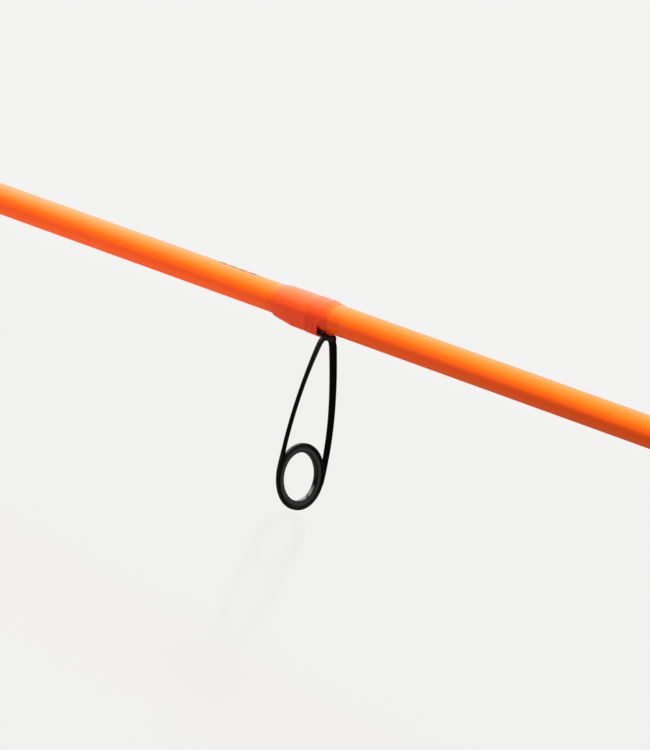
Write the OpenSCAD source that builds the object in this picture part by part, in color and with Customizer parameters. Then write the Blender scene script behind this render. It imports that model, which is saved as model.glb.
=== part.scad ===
// Ice fishing rod: single-piece tapered blank, foam grips, screw-lock reel seat,
// five single-foot line guides and a tip-top. Millimetres.
// +X runs from the butt to the tip, +Z is up, the reel and the guides hang towards -Z.
// The origin is the centre of the butt cap's flat end.

/* [Blank] */
// Blank diameter inside the handle
blank_handle_d = 5.94; // [5.7:0.02:6]
// Blank diameter at the very tip
blank_tip_d = 2.36; // [2.2:0.02:2.4]

/* [Guides] */
// Distance from the butt to the root of the first guide
first_guide_x = 372; // [364:1:380]
// Lean of the guide frames towards the tip, degrees
guide_lean = 10.2; // [6:0.2:14]
// Twist of the guide legs about their own length, degrees
leg_twist = 42; // [20:1:50]
// Thickness of the thread wrap over the blank
thread_t = 0.26; // [0.18:0.01:0.3]
// Thickness of the clear coat over the thread
coat_t = 0.12; // [0.1:0.01:0.2]

/* [Handle] */
// Diameter of the rear grip
rear_grip_d = 24; // [23:0.5:26]
// Diameter of the fore grip
fore_grip_d = 20.8; // [19:0.2:22]

/* [Reel seat] */
// Outer diameter of the seat barrel and of its thread crests
barrel_d = 16; // [15.6:0.1:16]
// Thread pitch
pitch = 2.4; // [2.4:0.1:2.4]
// Radial clearance between the lock nut's thread and the barrel's thread
thread_gap = 0.22; // [0.18:0.01:0.24]
// Number of grip flutes round the lock nut
flutes = 24; // [12:1:28]

/* [Hidden] */
$fn = 72;
g1 = first_guide_x;
dx = g1 - 372;
tip_x = 690;
blank_r_tab = [
    [0, blank_handle_d/2], [257, blank_handle_d/2],
    [439, blank_handle_d/2 - 0.637], [tip_x, blank_tip_d/2]
];

// Stations along the rod
cap_x1 = 7;
grip_x1 = 97;
trim_x1 = 100.5;
flange_x1 = 108;
seat_x1 = 204;
fore_trim_x1 = 207;
fore_x1 = 246;
check_x1 = 249;
thread_x0 = 165.4;
thread_turns = 14;
hood_x0 = 163;
hood_x1 = 179;
nut_x0 = 179.3;
nut_x1 = 192.3;
barrel_r = barrel_d/2;
root_r = barrel_r - 0.8;
bore_r = blank_handle_d/2 + 0.04;

// Guides: root x, leg length to the ring centre, frame ring radius, hole radius,
// strip thickness, strip width, half spacing at the root, foot length, wrap overrun, loop points
GUIDES = [
    [g1,       23.87, 5.60, 4.00, 0.65, 1.23, 1.12, 10.5, 0.5, 32],
    [468 + dx, 16.5,  4.50, 3.00, 0.60, 1.10, 1.00, 9.5,  0.5, 22],
    [545 + dx, 11.5,  3.65, 2.35, 0.55, 1.00, 0.90, 8.6,  0.5, 22],
    [605 + dx, 8.4,   3.10, 1.92, 0.50, 0.90, 0.82, 7.8,  0.5, 22],
    [650 + dx, 6.9,   2.78, 1.70, 0.50, 0.85, 0.76, 7.4,  0.5, 22]
];

// ---------- helpers ----------

function rb(x) = lookup(x, blank_r_tab);
function sum(v, i = 0) = i >= len(v) ? 0*v[0] : v[i] + sum(v, i + 1);
function mid(loop) = sum(loop)/len(loop);
function unit(v) = v/norm(v);
function flat1(l) = [for (a = l) for (b = a) b];
function rev(l) = [for (i = [len(l) - 1:-1:0]) l[i]];
function area_vec(l) = let (c = mid(l), n = len(l))
    sum([for (i = [0:n - 1]) cross(l[i] - c, l[(i + 1)%n] - c)]);
// loops that run anticlockwise seen from the end they lead to
function wound(s) = area_vec(s[0])*(mid(s[1]) - mid(s[0])) > 0 ? s : [for (l = s) rev(l)];
function fan(f) = [for (i = [1:len(f) - 2]) [f[0], f[i], f[i + 1]]];
// triangles of a skin between successive loops, whose first point has index o
function skin(m, n, o = 0) = [
    for (k = [0:m - 2]) for (i = [0:n - 1]) let (
        j = (i + 1)%n, a = o + k*n + i, b = o + k*n + n + i,
        c = o + k*n + n + j, d = o + k*n + j)
    each [[a, b, c], [a, c, d]]
];
function inward(t) = [for (f = t) [f[0], f[2], f[1]]];

// solid through a list of loops
module loft(sections) {
    s = wound(sections);
    n = len(s[0]);
    m = len(s);
    polyhedron(flat1(s), concat(
        fan([for (i = [0:n - 1]) i]),
        skin(m, n),
        fan([for (i = [n - 1:-1:0]) (m - 1)*n + i])
    ), convexity = 6);
}

// tube between an outer and an inner list of loops
module loft_tube(outer, inner) {
    so = wound(outer);
    si = wound(inner);
    n = len(so[0]);
    m = len(so);
    o = m*n;
    ends = [for (i = [0:n - 1]) let (j = (i + 1)%n, e = (m - 1)*n)
        each [[i, j, o + j], [i, o + j, o + i],
              [e + i, o + e + i, o + e + j], [e + i, o + e + j, e + j]]];
    polyhedron(concat(flat1(so), flat1(si)), concat(
        skin(m, n), inward(skin(m, n, o)), ends
    ), convexity = 8);
}

// body of revolution about the rod axis; points are [radius, x]
module lathe(p) {
    rotate([0, 90, 0]) rotate_extrude() polygon(p);
}

module rod_x(x0, x1, r) {
    translate([x0, 0, 0]) rotate([0, 90, 0]) cylinder(h = x1 - x0, r = r);
}

// cross-section in the Y-Z plane, first coordinate downwards, run from x0 to x1
module slab_x(x0, x1) {
    translate([x0, 0, 0]) rotate([0, 90, 0]) linear_extrude(x1 - x0) children();
}

// ---------- screw thread ----------

// helical thread about local Z with a flat-topped ridge, starting at z = 0, solid to the axis
module screw(turns, r0, r1, grow = 0, n = 24) {
    k1 = turns*n;
    zf = [0.16*pitch - grow, 0.36*pitch - grow, 0.62*pitch + grow, 0.82*pitch + grow];
    rr = [r0, r1, r1, r0];
    zb = -1.2;
    zt = (turns + 1)*pitch + 0.6;
    pts = [for (k = [0:k1]) for (j = [0:3])
        [rr[j]*cos(360*k/n), rr[j]*sin(360*k/n), k*pitch/n + zf[j]]];
    ringb = [for (k = [0:n - 1]) [r0*cos(360*k/n), r0*sin(360*k/n), zb]];
    ringt = [for (k = [0:n - 1]) [r0*cos(360*k/n), r0*sin(360*k/n), zt]];
    b0 = len(pts);
    t0 = b0 + n;
    k0 = k1 - n;
    side = [for (k = [0:k1 - 1]) for (j = [0:2])
        each [[4*k + j, 4*k + j + 1, 4*k + 5 + j], [4*k + j, 4*k + 5 + j, 4*k + 4 + j]]];
    valley = [for (k = [0:k0 - 1]) let (a = 4*k + 3, b = 4*(k + n))
        each [[a, b, b + 4], [a, b + 4, a + 4]]];
    wallb = [for (k = [0:n - 2])
        each [[b0 + k, 4*k, 4*k + 4], [b0 + k, 4*k + 4, b0 + k + 1]]];
    seamb = fan([b0 + n - 1, 4*(n - 1), 4*n, 3, 0, b0]);
    wallt = [for (k = [k0 + 1:k1 - 1]) let (a = 4*k + 3, t = t0 + k - k0, u = t0 + (k - k0 + 1)%n)
        each [[a, t, u], [a, u, a + 4]]];
    seamt = fan([t0 + 1, 4*(k0 + 1) + 3, 4*k0 + 3, 4*k1, 4*k1 + 3, t0]);
    polyhedron(concat(pts, ringb, ringt), concat(
        side, valley, wallb, seamb, wallt, seamt,
        [[0, 3, 2], [0, 2, 1]],
        [[4*k1, 4*k1 + 1, 4*k1 + 2], [4*k1, 4*k1 + 2, 4*k1 + 3]],
        fan([for (k = [0:n - 1]) b0 + k]),
        fan([for (k = [n - 1:-1:0]) t0 + k])
    ), convexity = 20);
}

// ---------- blank and handle ----------

module blank() {
    color([1.0, 0.36, 0.05]) lathe([
        [0, 15.6], [rb(16) - 0.4, 15.6], [rb(16), 16], [rb(257), 257], [rb(439), 439],
        [rb(tip_x - 0.4), tip_x - 0.4], [rb(tip_x) - 0.3, tip_x], [0, tip_x]
    ]);
}

module butt_cap() {
    r = rear_grip_d/2 - 0.1;
    color([0.06, 0.06, 0.065]) lathe([
        [0, 0], [r - 1.8, 0], [r - 1.1, 0.15], [r - 0.5, 0.5], [r - 0.15, 1.1], [r, 1.8],
        [r, 5.2], [r - 0.5, 5.5], [r - 0.5, 6.0], [r, 6.3], [r, cap_x1],
        [6, cap_x1], [6, 15], [5.4, 15.4], [0, 15.4]
    ]);
}

module rear_grip() {
    r = rear_grip_d/2;
    color([0.12, 0.12, 0.125]) lathe([
        [6.05, cap_x1], [r - 0.5, cap_x1], [r, cap_x1 + 0.7], [r, 62],
        [r - 0.25, 66], [r - 0.9, 71], [r - 1.7, 76], [r - 2.25, 81], [r - 2.45, 85],
        [r - 2.35, 89], [r - 1.9, 93], [r - 1.35, 96], [r - 1.5, 96.6], [r - 1.9, grip_x1],
        [bore_r, grip_x1], [bore_r, 15.5], [6.05, 15.5]
    ]);
}

module rear_trim_ring() {
    color([0.72, 0.72, 0.74]) lathe([
        [bore_r, grip_x1], [10.2, grip_x1], [10.7, 97.4], [10.7, 98.2], [10.4, 98.4],
        [10.4, 98.7], [10.7, 98.9], [10.7, 100.1], [10.3, trim_x1], [bore_r, trim_x1]
    ]);
}

module rear_arbor() {
    color([0.82, 0.72, 0.5]) difference() {
        rod_x(102, 120, 5.55);
        rod_x(101, 121, bore_r);
    }
}

module front_arbor() {
    color([0.82, 0.72, 0.5]) difference() {
        rod_x(184, 203.5, 5.55);
        rod_x(183, 204, bore_r);
    }
}

module seat_body() {
    color([0.09, 0.09, 0.1]) difference() {
        union() {
            lathe([
                [0, trim_x1], [9.8, trim_x1], [10.4, 101.1], [10.4, 106.8], [9.9, flange_x1],
                [barrel_r, flange_x1], [barrel_r, 164.6], [root_r, thread_x0 + 0.2],
                [root_r, 201], [root_r - 0.1, 203.8], [root_r - 0.5, seat_x1], [0, seat_x1]
            ]);
            translate([thread_x0, 0, 0]) rotate([0, 90, 0])
                screw(thread_turns - 1, root_r - 0.02, barrel_r);
            translate([121.5, -4.5, -8.7]) cube([28, 9, 3]);
        }
        rod_x(trim_x1 - 1, seat_x1 + 1, 5.6);
        translate([151, -1.5, barrel_r - 1.0]) cube([seat_x1 - 150, 3, 3]);
    }
}

// outline of a hood's pocket block: rounded towards the bottom
module block_2d(w, d, r) {
    translate([0, -w]) square([d - r, 2*w]);
    translate([0, -w + r]) square([d, 2*(w - r)]);
    for (s = [-1, 1]) translate([d - r, s*(w - r)]) circle(r);
}

// shell with a pocket that opens towards one end; m = 1 opens towards +X, -1 towards -X
module hood(x0, x1, sleeve_r, bore, m) {
    xm = m > 0 ? x1 : x0;
    wall = 1.3;
    difference() {
        union() {
            rod_x(x0, x1, sleeve_r);
            intersection() {
                translate([xm, 0, 0]) rotate([0, m*7, 0])
                    slab_x(-25, 25) block_2d(7.6, 14.6, 3.2);
                rod_x(x0, x1, 30);
                translate([x0 - 1, -20, -30]) cube([x1 - x0 + 2, 40, 30]);
            }
        }
        rod_x(x0 - 1, x1 + 1, bore);
        intersection() {
            translate([xm, 0, 0]) rotate([0, m*7, 0])
                slab_x(-25, 25) block_2d(7.6 - wall, 14.6 - wall, 2.4);
            translate([m > 0 ? x0 + 2.4 : x0 - 1, -20, -30]) cube([x1 - x0 - 1.4, 40, 30 - 5]);
        }
    }
}

module fixed_hood() {
    color([0.75, 0.76, 0.78]) hood(flange_x1 + 0.1, 120, barrel_r + 1.7, barrel_r + 0.05, 1);
}

module moving_hood() {
    color([0.75, 0.76, 0.78]) union() {
        hood(hood_x0, hood_x1, barrel_r + 1.8, barrel_r + 0.3, -1);
        // key that runs in the barrel's slot and stops the hood from turning
        translate([hood_x0 + 1, -1.2, barrel_r - 0.7]) cube([hood_x1 - hood_x0 - 2, 2.4, 1.6]);
    }
}

module lock_nut() {
    r = 10.8;
    color([0.1, 0.1, 0.11]) difference() {
        lathe([
            [0, nut_x0], [r - 0.9, nut_x0], [r, nut_x0 + 0.9], [r, nut_x0 + 9.2],
            [r - 0.7, nut_x0 + 9.9], [r - 0.7, nut_x0 + 10.4], [r - 0.3, nut_x0 + 10.8],
            [r - 0.3, nut_x1 - 0.6], [r - 1.0, nut_x1], [0, nut_x1]
        ]);
        for (i = [0:flutes - 1]) rotate([360*i/flutes, 0, 0])
            translate([0, 0, r + 0.42]) rod_x(nut_x0 + 1.2, nut_x0 + 9.0, 0.85);
        translate([thread_x0 + 4*pitch, 0, 0]) rotate([0, 90, 0])
            screw(8, root_r + thread_gap, barrel_r + thread_gap, 0.14);
    }
}

module front_trim_ring() {
    color([0.72, 0.72, 0.74]) lathe([
        [bore_r, seat_x1], [9.6, seat_x1], [10.1, 204.5], [10.1, 205.2], [9.8, 205.4],
        [9.8, 205.6], [10.1, 205.8], [10.1, 206.5], [9.7, fore_trim_x1], [bore_r, fore_trim_x1]
    ]);
}

module fore_grip() {
    r = fore_grip_d/2;
    color([0.12, 0.12, 0.125]) lathe([
        [bore_r, fore_trim_x1], [r - 1.0, fore_trim_x1], [r - 0.3, 207.7], [r - 0.05, 209.5],
        [r, 212], [r - 0.25, 216], [r - 0.9, 221], [r - 1.9, 227], [r - 3.0, 233],
        [r - 3.9, 238], [r - 4.5, 242], [r - 4.8, 244.6], [r - 5.2, 245.7], [r - 5.8, fore_x1],
        [bore_r, fore_x1]
    ]);
}

module winding_check() {
    color([0.72, 0.72, 0.74]) lathe([
        [bore_r, fore_x1], [4.6, fore_x1], [4.9, 246.3], [4.9, 247.0], [4.3, 247.5],
        [3.9, 248.6], [3.6, check_x1], [bore_r, check_x1]
    ]);
}

// ---------- thread wraps and clear coats ----------

// distance from the rod axis to a thread pulled tight over the blank (radius r) and a foot
// (lowest corner w out and z down, upper corner 0.25 further out and e higher), t thick,
// in direction a
function pull(a, r, w, z, e, t) = min([for (d = [-70:5:70]) let (
    c = abs(cos(a + d)), s = sin(a + d))
    (max(r, w*c - z*s, z > 0 ? (w + 0.25)*c - (z - e)*s : 0) + t)/cos(d)]);
// directions of a loop's n points: even round the top, then on both corners of the foot
function wrap_dirs(x, w, z, e, n) = let (
    a1 = atan2(max(z - e, rb(x)*0.9), max(w, 0.3) + 0.25), a2 = atan2(max(z, rb(x)), max(w, 0.3)),
    m = n - 5)
    concat([for (i = [0:m - 1]) -a1 + (180 + 2*a1)*i/(m - 1)],
        [for (i = [0:4]) 180 + a2 + (180 - 2*a2)*i/4]);
function wrap_loop(x, w, z, t, n, e = 0.2) = let (sag = rb(x)*(1/cos(130/(n - 6)) - 1))
    [for (a = wrap_dirs(x, w, z, e, n)) let (q = pull(a, rb(x), w, z, e, t + sag))
    [x, q*cos(a), q*sin(a)]];

// foot of a guide: half width and thickness at u from 0 (root) to 1 (end); flat up to foot_flat,
// then ground down to a thin end
foot_flat = 0.58;
function foot_w(g, u) = (g[6] + 0.62)*(1 - 0.5*u);
function foot_t(g, u) = g[4]*min(1, 0.16 + 0.84*(1 - u)/(1 - foot_flat));
function foot_z(g, x) = let (u = (g[0] - x)/g[7])
    u > 1.001 ? 0 : rb(x) + 0.06 + foot_t(g, min(max(u, 0), 1));
function foot_e(g, x) = 0.3*foot_t(g, min(max((g[0] - x)/g[7], 0), 1));
function foot_hw(g, x) = let (u = (g[0] - x)/g[7]) u > 1.001 ? 0 : foot_w(g, min(max(u, 0), 1)) - 0.25;

function wrap_t(g, x, t) = wrap_loop(x, foot_hw(g, x), foot_z(g, x), t, g[9], foot_e(g, x));

// the thread's end reaches past the legs on the sides and the top, and stops short of them
// below: moves a loop's points by up to d towards the butt there
function bay(loop, d) = [for (p = loop) let (
    b = abs(atan2(p[1], -p[2])), u = min(1, max(0, (60 - b)/18)))
    p - [d*u*u*(3 - 2*u), 0, 0]];
bay_d = 1.9;
thread_past = 2.4;

// x, thickness of thread, share of the bay
function thread_st(g) = let (x0 = g[0] - g[7], k = bend_k(g), xr = g[0]) [
    [x0 - g[8], 0.17, 0], [x0 - g[8] + 0.1, thread_t, 0], [x0 - 0.05, thread_t, 0],
    [x0, thread_t, 0], [x0 + (1 - foot_flat)*g[7], thread_t, 0], [xr - 2.7*k, thread_t, 0],
    [xr - 2.0*k, thread_t + 0.09, 0], [xr - 1.2*k, thread_t + 0.09, 0],
    [xr + 0.6*k, thread_t + 0.08, 0.5], [xr + thread_past*k - 0.15, thread_t - 0.06, 1],
    [xr + thread_past*k, 0.14, 1]
];

module guide_wrap(g) {
    st = thread_st(g);
    k = bend_k(g);
    color([0.9, 0.16, 0.05])
        loft_tube([for (s = st) bay(wrap_t(g, s[0], s[1]), bay_d*k*s[2])],
            [for (s = st) bay(wrap_t(g, s[0], 0.02), bay_d*k*s[2])]);
}

module guide_coat(g) {
    k = bend_k(g);
    st = thread_st(g);
    n = len(st);
    xa = st[0][0];
    xr = g[0];
    xe = xr + thread_past*k;
    // x, outer thickness, inner thickness, 1 while the foot is under it, share of the bay
    all = concat(
        [[xa - 0.7, 0.03, 0.015, 1, 0], [xa - 0.02, 0.26, 0.015, 1, 0],
            [xa, 0.17 + coat_t*0.8, 0.185, 1, 0]],
        [for (i = [1:n - 1]) [st[i][0], st[i][1] + coat_t*(i < n - 2 ? 1 : 0.8),
            st[i][1] + 0.015, 1, st[i][2]]],
        [[xe + 0.02, 0.14 + coat_t*0.7, 0.015, 1, 1], [xe + 0.8*k, 0.13, 0.015, 1, 0.6],
            [xe + 1.5*k, 0.08, 0.025, 0, 0.25], [xe + 2.6*k, 0.04, 0.02, 0, 0]]);
    function skin_at(s, t) = bay(s[3] > 0 ? wrap_t(g, s[0], t) : wrap_loop(s[0], 0, 0, t, g[9]),
        bay_d*k*s[4]);
    color([0.95, 0.62, 0.45, 0.5]) loft_tube(
        [for (s = all) skin_at(s, s[1])], [for (s = all) skin_at(s, s[2])]);
}

// plain wrap round the blank and a small foot of half width w and depth h, from xa to xb
module plain_wrap(xa, xb, w, h, t0, t1, n = 20) {
    xs = [xa, xb];
    loft_tube([for (x = xs) wrap_loop(x, w, rb(x) + h, t1, n)],
              [for (x = xs) wrap_loop(x, w, rb(x) + h, t0, n)]);
}

module plain_coat(xa, xb, w, h, t0, t1, n = 20) {
    xs = [xa - 0.6, xa, xb, xb + 0.6];
    to = [t0 + 0.03, t1, t1, t0 + 0.03];
    loft_tube([for (i = [0:3]) wrap_loop(xs[i], w, rb(xs[i]) + h, to[i], n)],
              [for (i = [0:3]) wrap_loop(xs[i], w, rb(xs[i]) + h, t0, n)]);
}

// ---------- line guides ----------

lean_u = [sin(guide_lean), 0, -cos(guide_lean)];
lean_n = [cos(guide_lean), 0, sin(guide_lean)];
function bend_k(g) = g[4]/0.65;
function bend_pt(g) = [g[0] + 1.44*bend_k(g), 0, -(rb(g[0]) + 0.06 + g[4]*0.6)];
function ring_pt(g) = bend_pt(g) + lean_u*g[1];
function leg_max(g) = g[2] - 0.27*bend_k(g);
function leg_end(g) = g[1] - 0.52*g[2];
function leg_w(g, b) = b >= leg_end(g) ? leg_max(g)
    : leg_max(g) - (leg_max(g) - g[6])*pow(1 - max(b, 0)/leg_end(g), 1.83);
function leg_pt(g, b) = bend_pt(g) + lean_u*b + lean_n*0.35*bend_k(g)
    + [0, -leg_w(g, b) + (b > g[1] ? 0.1*bend_k(g) : 0), 0];
function leg_loop(g, b) = let (
    t = unit(leg_pt(g, b + 0.1) - leg_pt(g, b - 0.1)),
    o = unit(cross(t, lean_n)),
    past = min(1, max(0, (b - leg_end(g)*0.9)/(g[1] - leg_end(g)*0.9))),
    a = leg_twist + (86 - leg_twist)*past,
    s = b > g[1] ? 0.5 : 1,
    wa = o*cos(a) + lean_n*sin(a),
    ta = lean_n*cos(a) - o*sin(a),
    w = g[5]/2*s*lookup(b/g[1], [[0, 1.02], [0.3, 0.98], [0.6, 0.88], [1, 0.82]]),
    h = g[4]/2*s*(1.12 - 0.37*past), c = 0.28*h,
    p = leg_pt(g, b))
    [for (q = [[w, h - c], [w - c, h], [c - w, h], [-w, h - c], [-w, c - h], [c - w, -h],
        [w - c, -h], [w, c - h]]) p + wa*q[0] + ta*q[1]];

module guide_leg(g) {
    e = g[1];
    loft([for (b = [-0.2, 0.12*e, 0.26*e, 0.40*e, 0.52*e, 0.62*e, 0.71*e, 0.80*e, 0.88*e,
        0.95*e, e, e + 0.16*g[2]]) leg_loop(g, b)]);
}

module guide_foot(g) {
    us = [1, 0.94, foot_flat, 0.25, 0];
    xe = g[0] + 1.44*bend_k(g) + g[4]/2;
    function plate(x, w, t) = [[x, -w, -rb(x) - 0.06], [x, -w, -rb(x) - 0.06 - t*0.7],
        [x, -w + 0.25, -rb(x) - 0.06 - t], [x, w - 0.25, -rb(x) - 0.06 - t],
        [x, w, -rb(x) - 0.06 - t*0.7], [x, w, -rb(x) - 0.06]];
    loft(concat([for (u = us) plate(g[0] - u*g[7], foot_w(g, u), foot_t(g, u))],
        [plate(xe, foot_w(g, 0), foot_t(g, 0))]));
}

// uncut strip between the legs, ending in a shallow arch
module guide_web(g) {
    k = bend_k(g);
    h = g[4]/2;
    function at(y, b, off) = bend_pt(g) + lean_u*b + lean_n*(0.35*k + off) + [0, y, 0];
    loft([for (v = [-1:0.5:1]) let (y = v*g[6], end = (0.85 + 0.55*v*v)*k)
        [at(y, -0.25*k, -h), at(y, end, -h), at(y, end, h), at(y, -0.25*k, h)]]);
}

// the frame's ring stands in the plane of the legs, and the insert a little behind it
module on_ring(g, off) {
    translate(ring_pt(g) + lean_n*off) rotate([0, 90 - guide_lean, 0]) children();
}

module guide_frame(g) {
    r = g[2];
    d = 0.24 + 0.036*r;
    color([0.07, 0.07, 0.075]) union() {
        guide_foot(g);
        guide_web(g);
        guide_leg(g);
        mirror([0, 1, 0]) guide_leg(g);
        on_ring(g, 0.36*bend_k(g)) rotate_extrude() polygon([
            [r - 0.52, -d], [r - 0.18, -d], [r, -d + 0.16], [r, d - 0.16], [r - 0.18, d],
            [r - 0.52, d]]);
    }
}

module guide_ring(g) {
    r = g[2] - 0.54;
    q = g[3];
    m = r - q;
    d = 0.2 + 0.068*g[2];
    color([0.2, 0.2, 0.21]) on_ring(g, 0.04*bend_k(g)) rotate_extrude() polygon([
        [r, -0.8*d], [r - 0.2*m, -d], [q + 0.3*m, -0.9*d], [q + 0.08*m, -0.6*d],
        [q, -0.2*d], [q, 0.2*d], [q + 0.08*m, 0.6*d], [q + 0.3*m, 0.9*d],
        [r - 0.2*m, d], [r, 0.8*d]]);
}

// ---------- hook keeper ----------

keeper_x0 = 253;
function keeper_pt(i) = let (z = -rb(262) - 0.55) i < 2
    ? [keeper_x0 + 6.2*i, 0, z]
    : i > 9 ? [keeper_x0 + 12.8 + 6.2*(i - 10), 0, z]
    : let (a = 180*(i - 2)/7) [262.5 - 2.6*cos(a), 0, z - 0.7 - 4.0*sin(a)];
function keeper_path() = [for (i = [0:11]) keeper_pt(i)];
module hook_keeper() {
    p = keeper_path();
    n = len(p);
    color([0.07, 0.07, 0.075]) loft([for (i = [0:n - 1]) let (
        t = unit(p[min(i + 1, n - 1)] - p[max(i - 1, 0)]),
        y = [0, 1, 0], o = cross(t, y), e = i == 0 || i == n - 1 ? 0.55 : 1)
        [for (k = [0:7]) p[i] + (y*cos(45*k + 22.5) + o*sin(45*k + 22.5)*e)*0.45]]);
}

module hook_keeper_wraps() {
    color([0.9, 0.16, 0.05]) {
        plain_wrap(252.2, 258.6, 0.42, 1.0, 0.03, 0.03 + thread_t);
        plain_wrap(266.4, 272.8, 0.42, 1.0, 0.03, 0.03 + thread_t);
    }
}

module hook_keeper_coats() {
    color([0.95, 0.62, 0.45, 0.5]) {
        plain_coat(252.1, 258.7, 0.42, 1.0, 0.05 + thread_t, 0.05 + thread_t + coat_t);
        plain_coat(266.3, 272.9, 0.42, 1.0, 0.05 + thread_t, 0.05 + thread_t + coat_t);
    }
}

// ---------- tip-top ----------

tube_x0 = 679;
tube_r = 1.75;
tip_lean = 20;
tip_g = [tip_x, 0, 2.9, 1.75];
tip_c = [695.9, 0, -3.4];

module tip_tube() {
    color([0.07, 0.07, 0.075]) lathe([
        [rb(tube_x0) + 0.04, tube_x0], [tube_r - 0.15, tube_x0], [tube_r, tube_x0 + 0.3],
        [tube_r, 693.6], [tube_r - 0.5, 694.4], [0, 694.4], [0, tip_x + 0.2],
        [rb(tube_x0) + 0.04, tip_x + 0.2]
    ]);
}

module on_tip() {
    translate(tip_c) rotate([0, 90 - tip_lean, 0]) children();
}

module tip_strut(s) {
    function rod_loop(c, r) = [for (k = [0:7]) c + [0, r*cos(45*k), r*sin(45*k)]];
    loft([rod_loop([682, s*1.6, -1.0], 0.35), rod_loop([690, s*2.3, -2.5], 0.42),
        rod_loop([695.9, s*2.78, -3.7], 0.42)]);
}

module tip_frame() {
    r = tip_g[2];
    color([0.07, 0.07, 0.075]) difference() {
        union() {
            on_tip() rotate_extrude() polygon([
                [r - 0.5, -0.75], [r - 0.15, -0.75], [r, -0.55], [r, 0.55], [r - 0.15, 0.75],
                [r - 0.5, 0.75]]);
            tip_strut(1);
            tip_strut(-1);
        }
        rod_x(670, 694.5, tube_r);
    }
}

module tip_ring() {
    r = tip_g[2] - 0.51;
    q = 1.6;
    color([0.2, 0.2, 0.21]) on_tip() rotate_extrude() polygon([
        [r, -0.6], [r - 0.25, -0.72], [q + 0.1, -0.45], [q, -0.2], [q, 0.2], [q + 0.1, 0.45],
        [r - 0.25, 0.72], [r, 0.6]]);
}

module tip_wrap() {
    color([0.9, 0.16, 0.05]) plain_wrap(668.5, 678.8, 0.1, 0, 0.02, 0.02 + thread_t);
}

module tip_coat() {
    color([0.95, 0.62, 0.45, 0.5])
        plain_coat(668.4, 678.3, 0.1, 0, 0.04 + thread_t, 0.04 + thread_t + coat_t);
}

// ---------- assembly ----------

blank();
butt_cap();
rear_grip();
rear_trim_ring();
seat_body();
rear_arbor();
front_arbor();
fixed_hood();
moving_hood();
lock_nut();
front_trim_ring();
fore_grip();
winding_check();
hook_keeper();
hook_keeper_wraps();
hook_keeper_coats();
guide_frame(GUIDES[0]);  // guide_1_frame
guide_ring(GUIDES[0]);  // guide_1_ring
guide_wrap(GUIDES[0]);  // guide_1_wrap
guide_coat(GUIDES[0]);  // guide_1_coat
guide_frame(GUIDES[1]);  // guide_2_frame
guide_ring(GUIDES[1]);  // guide_2_ring
guide_wrap(GUIDES[1]);  // guide_2_wrap
guide_coat(GUIDES[1]);  // guide_2_coat
guide_frame(GUIDES[2]);  // guide_3_frame
guide_ring(GUIDES[2]);  // guide_3_ring
guide_wrap(GUIDES[2]);  // guide_3_wrap
guide_coat(GUIDES[2]);  // guide_3_coat
guide_frame(GUIDES[3]);  // guide_4_frame
guide_ring(GUIDES[3]);  // guide_4_ring
guide_wrap(GUIDES[3]);  // guide_4_wrap
guide_coat(GUIDES[3]);  // guide_4_coat
guide_frame(GUIDES[4]);  // guide_5_frame
guide_ring(GUIDES[4]);  // guide_5_ring
guide_wrap(GUIDES[4]);  // guide_5_wrap
guide_coat(GUIDES[4]);  // guide_5_coat
tip_tube();
tip_frame();
tip_ring();
tip_wrap();
tip_coat();
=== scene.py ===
import math
from collections import namedtuple

import bpy
from mathutils import Matrix, Vector


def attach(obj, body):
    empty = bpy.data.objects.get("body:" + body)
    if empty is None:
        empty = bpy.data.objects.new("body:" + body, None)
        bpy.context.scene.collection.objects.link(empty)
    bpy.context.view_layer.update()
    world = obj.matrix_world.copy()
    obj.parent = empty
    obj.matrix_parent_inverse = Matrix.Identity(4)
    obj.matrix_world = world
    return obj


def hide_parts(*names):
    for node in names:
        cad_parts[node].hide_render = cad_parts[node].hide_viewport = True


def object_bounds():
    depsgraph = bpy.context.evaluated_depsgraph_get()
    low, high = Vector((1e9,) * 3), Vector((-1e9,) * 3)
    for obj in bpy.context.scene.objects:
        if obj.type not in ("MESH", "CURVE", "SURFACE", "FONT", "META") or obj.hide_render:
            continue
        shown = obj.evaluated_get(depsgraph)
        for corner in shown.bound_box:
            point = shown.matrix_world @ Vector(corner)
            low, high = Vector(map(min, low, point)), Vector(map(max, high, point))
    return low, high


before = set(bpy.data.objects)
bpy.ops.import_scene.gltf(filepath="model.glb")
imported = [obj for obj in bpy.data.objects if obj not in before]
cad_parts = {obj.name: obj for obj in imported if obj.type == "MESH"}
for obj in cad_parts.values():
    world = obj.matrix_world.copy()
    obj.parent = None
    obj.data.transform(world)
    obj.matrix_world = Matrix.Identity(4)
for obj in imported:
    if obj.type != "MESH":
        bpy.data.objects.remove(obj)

cad_lo, cad_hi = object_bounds()
MM = 0.001
TAU = 2 * math.pi

# -------- sizes, mm

# the rod lies along X: butt at 0, tip near 698, guides below on -Z
GUIDE_1_X = 372.0
# the blank as (x, radius), straight between the rows
BLANK_LINE = [(0, 2.97), (257, 2.97), (439, 2.333), (690, 1.18)]
# legs lean towards the tip; their strip twists, by a share of that at the elbow, and more at the ring
LEAN = math.radians(10.2)
TWIST = math.radians(42)
ELBOW_TWIST = 0.72
RING_TWIST = math.radians(84)
# root x, leg length, ring radius, hole radius, strip thickness, strip width,
# half the legs' spacing, foot length, how far the thread starts before the foot
Guide = namedtuple("Guide", "root leg ring hole thick width half foot over")
GUIDES = [
    Guide(372, 23.87, 5.60, 4.00, 0.65, 1.23, 1.12, 10.5, 0.5),
    Guide(468, 16.5, 4.50, 3.00, 0.60, 1.10, 1.00, 9.5, 0.5),
    Guide(545, 11.5, 3.65, 2.35, 0.55, 1.00, 0.90, 8.6, 0.5),
    Guide(605, 8.4, 3.10, 1.92, 0.50, 0.90, 0.82, 7.8, 0.5),
    Guide(650, 6.9, 2.78, 1.70, 0.50, 0.85, 0.76, 7.4, 0.5),
]
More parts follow.
